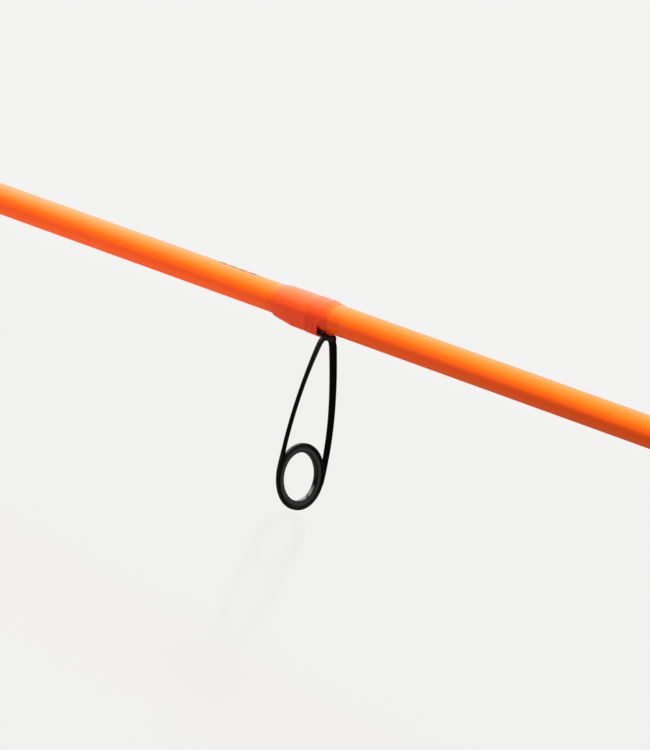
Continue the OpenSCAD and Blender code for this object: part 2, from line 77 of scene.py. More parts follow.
# thickness of the thread, and of the clear coat over it
THREAD_T = 0.26
COAT_T = 0.12
# air between blank and foot, and the foot's share at full thickness before it thins to its end
FOOT_GAP = 0.06
FOOT_FLAT = 0.58
# past a guide's root, in bend units: where the wrap parts, and where it ends
SLIT = 0.5
PAST = 2.4
SCREW_PITCH = 2.4


def rb(x):
    """Radius of the blank at x."""
    for (x0, r0), (x1, r1) in zip(BLANK_LINE, BLANK_LINE[1:]):
        if x <= x1:
            return r0 + (r1 - r0) * (x - x0) / (x1 - x0)
    return BLANK_LINE[-1][1]


def bend_k(g):
    """Bend unit: the strip's thickness as a share of the first guide's."""
    return g.thick / GUIDES[0].thick


def lerp(a, b, t):
    return a + (b - a) * t


def clamp(x, a=0.0, b=1.0):
    return max(a, min(b, x))


def smooth(a, b, x):
    """0 up to a, 1 from b on, and an S curve between."""
    t = clamp((x - a) / (b - a))
    return t * t * (3 - 2 * t)


# -------- mesh makers


def piece(name, mesh, mat, nodes, sharp=32, body="rod"):
    """Smooth object from a mesh (points in mm, faces), in place of the CAD's nodes."""
    verts, faces = mesh
    me = bpy.data.meshes.new(name)
    me.from_pydata([(x * MM, y * MM, z * MM) for x, y, z in verts], [], faces)
    me.validate()
    me.update()
    for p in me.polygons:
        p.use_smooth = True
    me.set_sharp_from_angle(angle=math.radians(sharp))
    me.materials.append(mat)
    o = bpy.data.objects.new(name, me)
    bpy.context.scene.collection.objects.link(o)
    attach(o, body)
    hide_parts(*nodes)


def grid(loops, closed_v=False):
    """Faces between successive closed loops of equal length."""
    m, n = len(loops), len(loops[0])
    f = []
    for k in range(m if closed_v else m - 1):
        k2 = (k + 1) % m
        for i in range(n):
            j = (i + 1) % n
            f.append((k * n + i, k * n + j, k2 * n + j, k2 * n + i))
    return f


def flat(loops):
    return [p for l in loops for p in l]


def fix_winding(verts, faces):
    """Turns every face over if the closed mesh is inside out."""
    vol = 0.0
    for f in faces:
        a = verts[f[0]]
        for i in range(1, len(f) - 1):
            b, c = verts[f[i]], verts[f[i + 1]]
            vol += (
                a[0] * (b[1] * c[2] - b[2] * c[1])
                - a[1] * (b[0] * c[2] - b[2] * c[0])
                + a[2] * (b[0] * c[1] - b[1] * c[0])
            )
    return faces if vol > 0 else [tuple(reversed(f)) for f in faces]


def loft(loops):
    """Closed solid through loops."""
    m, n = len(loops), len(loops[0])
    v = flat(loops)
    f = grid(loops)
    f.append(tuple(range(n - 1, -1, -1)))
    f.append(tuple((m - 1) * n + i for i in range(n)))
    return v, fix_winding(v, f)


def ring_loft(loops):
    """Closed torus-like solid through loops."""
    v = flat(loops)
    return v, fix_winding(v, grid(loops, closed_v=True))


def join(*parts):
    """Several meshes as one."""
    v, f = [], []
    for pv, pf in parts:
        b = len(v)
        v += list(pv)
        f += [tuple(b + i for i in q) for q in pf]
    return v, f


def rounded(profile, rad, steps=4, closed=True):
    """Profile with its corners rounded by up to rad."""
    out = []
    n = len(profile)
    for i, p in enumerate(profile):
        if not closed and i in (0, n - 1):
            out.append(p)
            continue
        a, b = profile[i - 1], profile[(i + 1) % n]
        va = Vector((a[0] - p[0], a[1] - p[1]))
        vb = Vector((b[0] - p[0], b[1] - p[1]))
        if va.length < 1e-6 or vb.length < 1e-6:
            continue
        bend = va.angle(vb)
        if bend > math.radians(172):
            out.append(p)
            continue
        d = min(rad, va.length * 0.45, vb.length * 0.45)
        pa, pb = Vector(p) + va.normalized() * d, Vector(p) + vb.normalized() * d
        for k in range(steps + 1):
            t = k / steps
            q = pa * (1 - t) ** 2 + Vector(p) * 2 * t * (1 - t) + pb * t * t
            out.append((q.x, q.y))
    return out


def lathe(profile, seg=96):
    """Turned solid about X from a closed (radius, x) profile, which may start and end on the axis."""
    solid = sum(r < 1e-6 for r, x in profile) >= 2
    loops = [
        [(x, r * math.cos(TAU * k / seg), r * math.sin(TAU * k / seg)) for k in range(seg)]
        for r, x in profile
        if r > 1e-6 or not solid
    ]
    return loft(loops) if solid else ring_loft(loops)


def tube(xs, outer, inner, angles):
    """Solid between two height fields r(angle, x); angle 0 is +Z, growing towards -Y."""

    def loop(x, fn):
        return [(x, -fn(a, x) * math.sin(a), fn(a, x) * math.cos(a)) for a in angles]

    loops = [loop(x, outer) for x in xs] + [loop(x, inner) for x in reversed(xs)]
    return ring_loft(loops)


def angles_with(n, extra=()):
    """n even directions and some extra ones, in order."""
    return sorted({round(TAU * k / n, 6) for k in range(n)} | {round(e % TAU, 6) for e in extra})


# -------- materials


class Tree:
    """Small helper round a node tree."""

    def __init__(self, tree):
        self.tree = tree
        self._pos = None

    def node(self, kind, **kw):
        x = self.tree.nodes.new(kind)
        for k, v in kw.items():
            setattr(x, k, v)
        return x

    def link(self, a, b):
        self.tree.links.new(a, b)

    def put(self, sock, v):
        if hasattr(v, "is_output"):
            self.link(v, sock)
        else:
            sock.default_value = v

    def math(self, op, a, b=0.0, c=0.0):
        x = self.node("ShaderNodeMath", operation=op)
        for i, v in enumerate((a, b, c)):
            self.put(x.inputs[i], v)
        return x.outputs[0]

    def times(self, a, b):
        return self.math("MULTIPLY", a, b)

    def plus(self, a, b):
        return self.math("ADD", a, b)

    def pos(self):
        """Place on the object in mm: the vector, then x, y and z."""
        if self._pos is None:
            tc = self.node("ShaderNodeTexCoord")
            mm = self.node("ShaderNodeVectorMath", operation="SCALE")
            self.link(tc.outputs["Object"], mm.inputs[0])
            mm.inputs["Scale"].default_value = 1000.0
            sep = self.node("ShaderNodeSeparateXYZ")
            self.link(mm.outputs[0], sep.inputs[0])
            self._pos = (mm.outputs[0], *sep.outputs)
        return self._pos

    def noise(self, scale, detail=3.0, rough=0.5, stretch=None):
        """Noise whose features are about 1/scale mm."""
        v = self.pos()[0]
        if stretch:
            k = self.node("ShaderNodeVectorMath", operation="MULTIPLY")
            self.link(v, k.inputs[0])
            k.inputs[1].default_value = stretch
            v = k.outputs[0]
        x = self.node("ShaderNodeTexNoise")
        x.inputs["Scale"].default_value = scale
        x.inputs["Detail"].default_value = detail
        x.inputs["Roughness"].default_value = rough
        self.link(v, x.inputs["Vector"])
        return x.outputs["Fac"]

    def voronoi(self, scale):
        """Distance from the middles of cells about 1/scale mm wide."""
        x = self.node("ShaderNodeTexVoronoi", feature="F1")
        x.inputs["Scale"].default_value = scale
        self.link(self.pos()[0], x.inputs["Vector"])
        return x.outputs["Distance"]

    def remap(self, v, a, b, c, d, kind="LINEAR"):
        """From c to d as v goes from a to b."""
        x = self.node("ShaderNodeMapRange", interpolation_type=kind)
        self.put(x.inputs["Value"], v)
        for k, val in zip(("From Min", "From Max", "To Min", "To Max"), (a, b, c, d)):
            x.inputs[k].default_value = val
        return x.outputs["Result"]

    def mix(self, f, a, b):
        x = self.node("ShaderNodeMix", data_type="RGBA")
        self.put(x.inputs["Factor"], f)
        self.put(x.inputs[6], a)
        self.put(x.inputs[7], b)
        return x.outputs[2]

    def blend(self, f, a, b):
        """Shader a where f is 0, b where f is 1."""
        x = self.node("ShaderNodeMixShader")
        for sock, v in zip(x.inputs, (f, a, b)):
            self.put(sock, v)
        return x.outputs[0]

    def bump_normal(self, h, dist_mm, strength, after=None):
        x = self.node("ShaderNodeBump")
        x.inputs["Strength"].default_value = strength
        x.inputs["Distance"].default_value = dist_mm * MM
        self.link(h, x.inputs["Height"])
        if after is not None:
            self.link(after, x.inputs["Normal"])
        return x.outputs[0]


class Mat(Tree):
    """A material with its tree, its shader and its output."""

    def __init__(self, name):
        self.material = bpy.data.materials.new(name)
        self.material.use_nodes = True
        super().__init__(self.material.node_tree)
        self.shader = self.tree.nodes["Principled BSDF"]
        self.out = self.tree.nodes["Material Output"]

    def bump(self, *args):
        self.link(self.bump_normal(*args), self.shader.inputs["Normal"])

    def set(self, **kw):
        for k, v in kw.items():
            self.put(self.shader.inputs[k.replace("_", " ")], v)


def col(r, g, b):
    return (r, g, b, 1.0)


def m_blank():
    m = Mat("blank_orange")
    _, x, y, z = m.pos()
    patches = m.remap(m.noise(0.05, 2), 0.3, 0.7, 0.0, 1.0)
    base = m.mix(patches, col(0.98, 0.098, 0.0008), col(1.0, 0.107, 0.0012))
    # plain printed dashes along the top, behind the first guide
    start, end, pitch, duty = GUIDE_1_X - 27.8, GUIDE_1_X - 17.6, 2.55, 0.84
    up = m.math("ARCTAN2", z, m.times(y, -1.0))
    band = m.times(m.math("GREATER_THAN", up, 1.15), m.math("LESS_THAN", up, 2.1))
    zone = m.times(m.math("GREATER_THAN", x, start), m.math("LESS_THAN", x, end))
    u = m.math("FRACT", m.math("DIVIDE", m.math("SUBTRACT", x, start), pitch))
    dash = m.math("LESS_THAN", u, duty)
    mark = m.times(m.times(band, zone), dash)
    m.set(Base_Color=m.mix(m.times(mark, 0.96), base, col(0.03, 0.01, 0.002)))
    m.set(Roughness=m.remap(m.noise(0.9, 3), 0.3, 0.7, 0.29, 0.34))
    m.set(IOR=1.36, Specular_Tint=col(1.0, 0.9, 0.62))
    m.bump(m.noise(1.6, 4, 0.6), 0.012, 0.25)
    return m.material


def thread_height(m, pitch):
    """Height of wound thread, 0 in the grooves and 1 on the strands."""
    _, x, y, z = m.pos()
    lead = m.math("DIVIDE", m.math("ARCTAN2", y, z), TAU)
    turns = m.plus(m.math("DIVIDE", x, pitch), lead)
    wave = m.math("ABSOLUTE", m.math("SINE", m.times(turns, math.pi)))
    return m.math("POWER", wave, 0.6)


def root_mask(m, x, near, far):
    """1 from near to far bend units past each guide's root, softly, else 0."""
    total = 0.0
    for g in GUIDES:
        k = bend_k(g)
        up = m.remap(x, g.root + (near - 0.5) * k, g.root + (near + 0.5) * k, 0.0, 1.0)
        down = m.remap(x, g.root + far * k, g.root + (far + 0.6) * k, 1.0, 0.0)
        total = m.plus(total, m.times(up, down))
    return total


def m_thread():
    m = Mat("thread_red")
    _, x, y, z = m.pos()
    h = thread_height(m, 0.22)
    streak = m.remap(m.noise(1.0, 2, 0.5, (5.0, 0.25, 0.25)), 0.3, 0.7, 0.0, 1.0)
    strand = m.mix(streak, col(0.97, 0.08, 0.007), col(1.0, 0.094, 0.01))
    # painted shade: the grooves between the strands are painted darker
    base = m.mix(h, col(0.92, 0.05, 0.005), strand)
    # painted shade: turns near the legs, where they stand apart, are painted darker, mostly on the underside
    below = m.remap(z, 0.4, -2.2, 0.0, 1.0)
    turns = m.remap(m.noise(1.0, 2, 0.5, (2.6, 0.1, 0.1)), 0.35, 0.65, 0.1, 1.0)
    dark = m.times(turns, m.remap(below, 0.0, 1.0, 0.3, 0.75))
    dark = m.times(dark, root_mask(m, x, -2.6, 2.0))
    # blend in the painted shade's dark red
    base = m.mix(dark, base, col(0.66, 0.018, 0.003))
    # the thin end lets the blank shine through, and it reaches further back above than below
    behind = m.math("SUBTRACT", x, m.times(below, 1.3))
    shine = m.times(root_mask(m, behind, 1.9, 3.0), 0.85)
    base = m.mix(shine, base, col(0.98, 0.1, 0.002))
    m.set(Base_Color=base, Roughness=0.34, IOR=1.32)
    m.bump(h, 0.03, 0.3)
    return m.material


def m_coat():
    """Clear epoxy: a film that shows what is under it, with its own gloss."""
    m = Mat("clear_coat")
    m.tree.nodes.remove(m.shader)
    clear = m.node("ShaderNodeBsdfTransparent")
    clear.inputs["Color"].default_value = col(0.985, 0.975, 0.96)
    gloss = m.node("ShaderNodeBsdfGlossy")
    gloss.inputs["Roughness"].default_value = 0.3
    fres = m.node("ShaderNodeFresnel")
    fres.inputs["IOR"].default_value = 1.36
    geo = m.node("ShaderNodeNewGeometry")
    front = m.math("SUBTRACT", 1.0, geo.outputs["Backfacing"])
    f = m.times(m.times(fres.outputs[0], front), 0.4)
    m.link(m.bump_normal(m.noise(0.55, 2, 0.45), 0.06, 0.35), gloss.inputs["Normal"])
    m.link(m.blend(f, clear.outputs[0], gloss.outputs[0]), m.out.inputs["Surface"])
    return m.material


def m_black():
    m = Mat("guide_black")
    patches = m.remap(m.noise(2.5, 3), 0.35, 0.65, 0.0, 1.0)
    m.set(Base_Color=m.mix(patches, col(0.0012, 0.0012, 0.0013), col(0.0024, 0.0024, 0.0025)))
    m.set(Roughness=m.remap(m.noise(1.2, 3), 0.3, 0.7, 0.2, 0.3), IOR=1.33)
    m.bump(m.noise(6, 3), 0.006, 0.3)
    return m.material


def m_ceramic():
    m = Mat("ring_ceramic")
    grain = m.remap(m.noise(8.0, 4, 0.7), 0.4, 0.7, 0.0, 1.0)
    m.set(Base_Color=m.mix(grain, col(0.0016, 0.0016, 0.0017), col(0.0032, 0.0032, 0.0034)))
    m.set(Roughness=m.remap(m.noise(3, 2), 0.3, 0.7, 0.07, 0.12), IOR=1.75)
    return m.material


def m_foam():
    m = Mat("foam_black")
    cells = m.voronoi(2.6)
    fine = m.noise(5.0, 4, 0.65)
    # painted shade: the cells' pits, sunk by the bump below, are painted darker; the fine noise adds random
    # tone
    tone = m.times(m.remap(cells, 0.0, 0.5, 0.35, 1.0), m.remap(fine, 0.3, 0.7, 0.7, 1.15))
    big = m.remap(m.noise(0.12, 3), 0.3, 0.7, 0.0, 1.0)
    a = m.mix(big, col(0.011, 0.011, 0.0115), col(0.017, 0.017, 0.018))
    m.set(Base_Color=m.mix(tone, col(0.004, 0.004, 0.0042), a))
    m.set(Roughness=0.86, Sheen_Weight=0.08, Sheen_Roughness=0.5)
    m.bump(fine, 0.08, 0.5, m.bump_normal(cells, 0.16, 0.5))
    return m.material


def m_seat():
    m = Mat("seat_plastic")
    m.set(Base_Color=m.mix(m.noise(0.25, 3), col(0.009, 0.009, 0.0095), col(0.014, 0.014, 0.015)))
    m.set(Roughness=m.remap(m.noise(1.1, 3), 0.3, 0.7, 0.42, 0.56))
    m.bump(m.voronoi(3.2), 0.03, 0.45)
    return m.material


def plain(name, pattern, dark, light, rough, bump_mm, strength=0.4, rough_pattern=None, **more):
    """One noise pattern in colour and relief; the roughness follows it, or a pattern of its own."""
    m = Mat(name)
    p = m.noise(*pattern)
    q = m.noise(*rough_pattern) if rough_pattern else p
    m.set(Base_Color=m.mix(p, col(*dark), col(*light)), Roughness=m.remap(q, 0.3, 0.7, *rough), **more)
    m.bump(p, bump_mm, strength)
    return m.material


BLANK = m_blank()
THREAD = m_thread()
COAT = m_coat()
BLACK = m_black()
CERAMIC = m_ceramic()
FOAM = m_foam()
RUBBER = plain("butt_rubber", (3.0, 4, 0.6), (0.012, 0.012, 0.013), (0.024, 0.024, 0.025),
               (0.55, 0.7), 0.04, rough_pattern=(0.6, 3))
TRIM = plain("trim_metal", (1.0, 3, 0.6, (14.0, 0.15, 0.15)), (0.20, 0.20, 0.21), (0.36, 0.36, 0.38),
             (0.22, 0.36), 0.01, Metallic=1.0)
SEAT = m_seat()
NUT = plain("nut_plastic", (4.5, 4, 0.6), (0.008, 0.008, 0.0085), (0.014, 0.014, 0.0145),
            (0.38, 0.52), 0.03, rough_pattern=(1.0, 3))
STEEL = plain("hood_steel", (1.0, 4, 0.65, (0.25, 9.0, 9.0)), (0.42, 0.43, 0.45), (0.62, 0.63, 0.65),
              (0.2, 0.34), 0.008, Metallic=1.0, Anisotropic=0.4)
ARBOR = plain("arbor_foam", (1.4, 4, 0.6), (0.36, 0.26, 0.13), (0.55, 0.42, 0.24),
              (0.85, 0.85), 0.1, 0.5)

# -------- blank and handle

# hole through the handle's parts, a hair wider than the blank
BORE = 3.01


def turned(name, profile, mat, rad, nodes, seg=112):
    """Turned part of the rod from a (radius, x) profile, its corners rounded by rad."""
    on_axis = profile[0][0] < 1e-6
    mesh = lathe(rounded(profile, rad, closed=not on_axis), seg)
    piece(name, mesh, mat, nodes, sharp=40)


def crowned(pts, steps=6):
    """Smooth curve through (radius, x) points."""
    out = []
    last = len(pts) - 1
    for i in range(last):
        p0, p1, p2, p3 = pts[max(i - 1, 0)], pts[i], pts[i + 1], pts[min(i + 2, last)]
        for k in range(steps):
            t = k / steps
            out.append(tuple(
                0.5 * (2 * p1[j] + (p2[j] - p0[j]) * t
                       + (2 * p0[j] - 5 * p1[j] + 4 * p2[j] - p3[j]) * t * t
                       + (3 * p1[j] - p0[j] - 3 * p2[j] + p3[j]) * t ** 3)
                for j in (0, 1)))
    out.append(pts[-1])
    return out


blank_line = [(0, 15.6), (rb(16) - 0.4, 15.6)]
blank_line += [(rb(x), x) for x in range(16, 689, 2)]
blank_line += [(rb(689.6), 689.6), (rb(690) - 0.3, 690), (0, 690)]
piece("blank_tube", lathe(blank_line, 128), BLANK, ("blank",))

turned("butt_cap_moulded", [
    (0, 0), (10.6, 0), (11.5, 0.55), (11.9, 1.7), (11.9, 5.0), (11.45, 5.35), (11.45, 6.0),
    (11.9, 6.35), (11.9, 7), (6, 7), (6, 15), (5.4, 15.4), (0, 15.4),
], RUBBER, 0.5, ("butt_cap",))

rear_line = [(6.05, 7.05), (11.4, 7.05), (11.8, 7.3), (12.0, 7.9)]
rear_line += [(12.0, x) for x in range(12, 54, 6)]
rear_line += crowned([
    (12.0, 54), (12, 60), (11.75, 66), (11.1, 71), (10.3, 76), (9.75, 81), (9.55, 85), (9.65, 89),
    (10.1, 93), (10.62, 96),
])
rear_line += [(10.5, 96.6), (10.1, 96.98), (BORE, 96.98), (BORE, 15.5), (6.05, 15.5)]
turned("rear_grip_foam", rear_line, FOAM, 0.15, ("rear_grip",))

fore_line = [(BORE, 207.05), (9.4, 207.05), (10.1, 207.7)]
fore_line += crowned([
    (10.35, 209.5), (10.4, 212), (10.15, 216), (9.5, 221), (8.5, 227), (7.4, 233), (6.5, 238),
    (5.9, 242), (5.6, 244.6),
])
fore_line += [(5.2, 245.7), (4.6, 245.98), (BORE, 245.98)]
turned("fore_grip_foam", fore_line, FOAM, 0.3, ("fore_grip",))

turned("rear_trim_ring_turned", [
    (BORE, 97), (10.2, 97), (10.7, 97.4), (10.7, 98.2), (10.38, 98.4), (10.38, 98.75),
    (10.7, 98.95), (10.7, 100.1), (10.3, 100.5), (BORE, 100.5),
], TRIM, 0.12, ("rear_trim_ring",))
turned("front_trim_ring_turned", [
    (BORE, 204), (9.6, 204), (10.1, 204.45), (10.1, 205.2), (9.8, 205.35), (9.8, 205.65),
    (10.1, 205.8), (10.1, 206.55), (9.7, 207), (BORE, 207),
], TRIM, 0.12, ("front_trim_ring",))
turned("winding_check_turned", [
    (BORE, 246), (4.6, 246), (4.9, 246.25), (4.9, 247.0), (4.35, 247.4), (3.95, 248.6),
    (3.6, 249), (BORE, 249),
], TRIM, 0.15, ("winding_check",))
# the two arbors are hidden: the CAD's own meshes stay, in tan foam
for n in ("rear_arbor", "front_arbor"):
    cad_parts[n].data.materials.clear()
    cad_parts[n].data.materials.append(ARBOR)

# -------- reel seat

# radius of the barrel and of the screw's crests, and radius of the screw's roots
CREST_R = 8.0
CORE_R = 7.2
SCREW_X0 = 165.4
# flat pad under the barrel: depth below the axis and half width; slot for the hood's key on top
PAD_DEEP = 8.7
PAD_HALF = 4.5
SLOT_DEEP = 7.0
SLOT_HALF = 1.5
# clearance all round between screw and nut
NUT_GAP = 0.22


def screw_r(a, x, r0, r1, grow=0.0):
    """Radius of the screw's surface; a is measured as the CAD turns it about X."""
    th = (a / TAU) % 1.0
    u = ((x - SCREW_X0) / SCREW_PITCH - th) % 1.0
    lo0, lo1, hi1, hi0 = 0.16 - grow, 0.36 - grow, 0.62 + grow, 0.82 + grow
    if u < lo0 or u > hi0:
        return r0
    if u < lo1:
        return lerp(r0, r1, smooth(lo0, lo1, u))
    if u <= hi1:
        return r1
    return lerp(r1, r0, smooth(hi1, hi0, u))


def cad_angle(a):
    """The lathe angle (0 at +Z, towards -Y) as an angle about X from -Z towards +Y."""
    return (math.pi + a) % TAU


def seat_outer(a, x):
    """Outside of the seat: collar, barrel with pad and key slot, screw, end."""
    c, s = math.cos(a), math.sin(a)
    if x <= 101.1:
        r = lerp(9.9, 10.4, smooth(100.5, 101.1, x))
    elif x <= 106.8:
        r = 10.4 - 0.18 * (1 if 103.4 < x < 104.4 else 0)
    elif x < 108.0:
        r = lerp(10.4, 9.95, smooth(106.8, 107.95, x))
    elif x <= 164.6:
        r = CREST_R
    elif x < 165.6:
        r = lerp(CREST_R, CORE_R, smooth(164.6, 165.6, x))
    elif x < 197.4:
        r = screw_r(cad_angle(a), x, CORE_R, CREST_R) if x > 166.2 else CORE_R
    elif x < 199.8:
        k = 1 - smooth(197.4, 199.8, x)
        r = lerp(CORE_R, screw_r(cad_angle(a), x, CORE_R, CREST_R), k)
    else:
        r = CORE_R - 0.1 * smooth(201, 203.8, x)
    if x > 108.0:
        if 121.5 <= x <= 149.5 and c < 0:
            pad = PAD_DEEP / -c
            if abs(s) * pad <= PAD_HALF:
                r = max(r, pad)
            else:
                side = PAD_HALF / max(abs(s), 1e-6)
                if CREST_R < side <= 9.8:
                    r = max(r, min(side, pad))
        if x >= 151 and c > 0:
            slot_r = SLOT_DEEP / c
            if abs(s) * slot_r < SLOT_HALF:
                r = min(r, slot_r)
    return r


# closer stations where the outside steps, even ones along the screw
xs = [100.5, 100.7, 100.9, 101.1, 103.35, 103.45, 104.35, 104.45, 106.8, 107.3, 107.7, 107.99, 108.0,
      115, 121.48, 121.52, 130, 140, 149.48, 149.52, 150.99, 151.01, 158, 164.6, 165.0, 165.3, 165.6]
x = 165.8
while x < 199.8:
    xs.append(x)
    x += SCREW_PITCH / 20
xs += [199.8, 201, 202.4, 203.8, 204]
# and pairs of directions on each side of the slot's and the pad's edges
pad_a = math.atan2(PAD_HALF, PAD_DEEP)
slot_a = math.atan2(SLOT_HALF, SLOT_DEEP)
extra = [slot_a - 0.003, slot_a + 0.003, -slot_a + 0.003, -slot_a - 0.003]
for e in (pad_a - 0.004, pad_a + 0.004, math.asin(PAD_HALF / CREST_R)):
    extra += [math.pi - e, math.pi + e]
mesh = tube(xs, seat_outer, lambda a, x: 5.6, angles_with(128, extra))
piece("seat_body_moulded", mesh, SEAT, ("seat_body",), sharp=38)


def block_r(a, half, deep, rad):
    """Distance from the axis to a rounded block below it, in direction a, or 0 above the axis."""
    c, s = -math.cos(a), abs(math.sin(a))
    if c <= 0.02:
        return 0.0 if c < -0.02 else half
    # flat sides and bottom
    r = min(deep / c, half / max(s, 1e-6))
    px, pd = r * s, r * c
    if px > half - rad and pd > deep - rad:
        # rounded corner: meet the circle
        cx, cd = half - rad, deep - rad
        b = s * cx + c * cd
        q = b * b - (cx * cx + cd * cd - rad * rad)
        if q > 0:
            r = b + math.sqrt(q)
    return r


def hood_mesh(x0, x1, sleeve, inside, m):
    """Shell with a pocket below; m = 1 opens towards +X, -1 towards -X."""
    xm, xc = (x1, x0) if m > 0 else (x0, x1)
    slope = math.radians(7)
    lip = 0.45

    def deep(x, d):
        """Depth of the pocket: d at its mouth, rising towards its closed end."""
        return d / math.cos(slope) - abs(x - xm) * math.tan(slope)

    def ease(x):
        """How far the outside draws in for the rounded lips at both ends."""
        e = min(x - x0, x1 - x)
        return 0.0 if e > lip else lip - math.sqrt(max(0.0, lip ** 2 - (lip - e) ** 2))

    def outer(a, x):
        b = block_r(a, 7.6, deep(x, 14.6), 3.4) * (0.93 + 0.07 * smooth(0, 3.0, abs(x - xc)))
        # sleeve and pocket run into each other over a fillet
        fillet = 1.2
        h = clamp(0.5 + 0.5 * (b - sleeve) / fillet)
        r = max(sleeve, lerp(sleeve, b, h) + fillet * h * (1 - h) * 0.5)
        r = min(r, max(sleeve, block_r(a, 7.6, deep(x, 14.6), 3.2)) + 0.02)
        return r - ease(x)

    def inner(a, x):
        r = inside
        if abs(x - xc) > 2.4:
            b = block_r(a, 6.3, deep(x, 13.3), 2.4)
            if -math.cos(a) * b > 5.0:
                r = max(r, b)
        # chamfer at the mouth
        e = min(x - x0, x1 - x)
        return r + (0.25 - e if e < 0.25 and abs(x - xm) < 0.3 else 0)

    xs = [x0, x0 + 0.06, x0 + 0.16, x0 + 0.3, x0 + 0.5]
    xs += [x0 + 0.5 + (x1 - x0 - 1.0) * k / 12 for k in range(1, 12)]
    xs += [x1 - 0.5, x1 - 0.3, x1 - 0.16, x1 - 0.06, x1]
    xs += [xc + m * 2.39, xc + m * 2.41]
    return tube(sorted(xs), outer, inner, angles_with(180))


shell_mesh = hood_mesh(108.1, 120.0, 9.7, 8.05, 1)
piece("fixed_hood_shell", shell_mesh, STEEL, ("fixed_hood",), sharp=30)
key_line = [(-1.2, 7.3), (1.2, 7.3), (1.2, 8.6), (-1.2, 8.6)]
hood_key = loft([[(x, y, z) for y, z in key_line] for x in (164, 178)])
shell_mesh = join(hood_mesh(163.0, 179.0, 9.8, 8.3, -1), hood_key)
piece("moving_hood_shell", shell_mesh, STEEL, ("moving_hood",), sharp=30, body="hood")

# the lock nut's ends, its radius between the grip's grooves, and how many grooves
NUT_X0 = 179.3
NUT_X1 = 192.3
NUT_R = 10.8
GRIPS = 24


def nut_outer(a, x):
    """Outside of the nut: rounded end, grooved grip, neck and collar."""
    u = x - NUT_X0
    if u < 0.9:
        r = NUT_R - 0.9 + math.sqrt(max(0, 0.81 - (0.9 - u) ** 2))
    elif u < 9.2:
        r = NUT_R
    elif u < 9.9:
        r = NUT_R - 0.7 * smooth(9.2, 9.9, u)
    elif u < 10.4:
        r = 10.1
    elif u < 10.8:
        r = 10.1 + 0.4 * smooth(10.4, 10.8, u)
    elif u < 12.4:
        r = 10.5
    else:
        r = 10.5 - 0.7 * (1 - math.sqrt(max(0, 1 - ((u - 12.4) / 0.6) ** 2)))
    if 0.9 < u < 9.3:
        d = (((a + TAU / (2 * GRIPS)) % (TAU / GRIPS)) - TAU / (2 * GRIPS)) * NUT_R
        depth = math.sqrt(max(0.0, 0.85 ** 2 - d * d)) - 0.42
        edge = smooth(0.9, 1.7, u) * (1 - smooth(8.5, 9.3, u))
        r -= max(0.0, depth) * edge
    return r


def nut_inner(a, x):
    r = screw_r(cad_angle(a), x, CORE_R + NUT_GAP, CREST_R + NUT_GAP, 0.14 / SCREW_PITCH)
    # chamfers at both ends
    e = min(x - NUT_X0, NUT_X1 - x)
    return max(r, CREST_R + NUT_GAP - e) if e < 0.8 else r


xs = [179.3, 179.35, 179.45, 179.6, 179.8, 180.2, 180.45, 180.7, 181.0]
xs += [181.0 + 0.12 * k for k in range(1, 62)]
xs += [188.5, 188.65, 188.85, 189.0, 189.2, 189.4, 189.7, 189.9, 190.1, 191.0]
xs += [191.7, 191.9, 192.1, 192.24, 192.3]
mesh = tube(sorted(xs), nut_outer, nut_inner, angles_with(GRIPS * 12))
piece("lock_nut_moulded", mesh, NUT, ("lock_nut",), sharp=40, body="nut")

# -------- wraps and coats


def pull(a, r, w, z, e, t):
    """Distance from the axis to thread pulled tight over the blank and a foot, in direction a."""
    best = 1e9
    for d in range(-72, 73, 4):
        q = math.radians(d)
        c, s = abs(math.cos(a + q)), math.sin(a + q)
        sup = max(r, w * c - z * s, ((w + 0.25) * c - (z - e) * s) if z > 0 else 0.0)
        best = min(best, (sup + t) / math.cos(q))
    return best


def wrap_loop(x, w, z, t, n):
    """Loop of thread over the blank and a wire or tube of half width w down to z."""
    out = []
    for i in range(n):
        a = TAU * i / n
        q = pull(a, rb(x), w, z, 0.2, t)
        out.append((x, q * math.cos(a), q * math.sin(a)))
    return out


def shell(outer, inner):
    """Closed skin between outer and inner loops."""
    return ring_loft(outer + inner[::-1])


def foot_u(g, x):
    """Place along a foot: 0 at its root, 1 at its far end."""
    return (g.root - x) / g.foot


def foot_w(g, u):
    """Half width of the foot."""
    return (g.half + 0.62) * (1 - 0.5 * u)


def foot_t(g, u):
    """Thickness of the foot."""
    return g.thick * min(1, 0.05 + 0.95 * (1 - u) / (1 - FOOT_FLAT))


def under(g, x):
    """Half width, depth and step of the foot under the thread at x."""
    u = foot_u(g, x)
    if u > 1.001:
        return 0.0, 0.0, 0.2
    u = clamp(u)
    return foot_w(g, u) - 0.25, rb(x) + FOOT_GAP + foot_t(g, u), 0.3 * foot_t(g, u)


def loop_dirs(x, w, z, e, n):
    """Directions of a loop's points, with some of them on the foot's corners."""
    a1 = math.atan2(max(z - e, rb(x) * 0.9), max(w, 0.3) + 0.25)
    a2 = math.atan2(max(z, rb(x)), max(w, 0.3))
    below = 9
    m = n - below
    out = [-a1 + (math.pi + 2 * a1) * i / (m - 1) for i in range(m)]
    out += [math.pi + a2 + (math.pi - 2 * a2) * i / (below - 1) for i in range(below)]
    return out


def slit_x(g):
    """Where the thread parts: turns behind it go over the foot, turns ahead pass the legs."""
    return g.root + SLIT * bend_k(g)


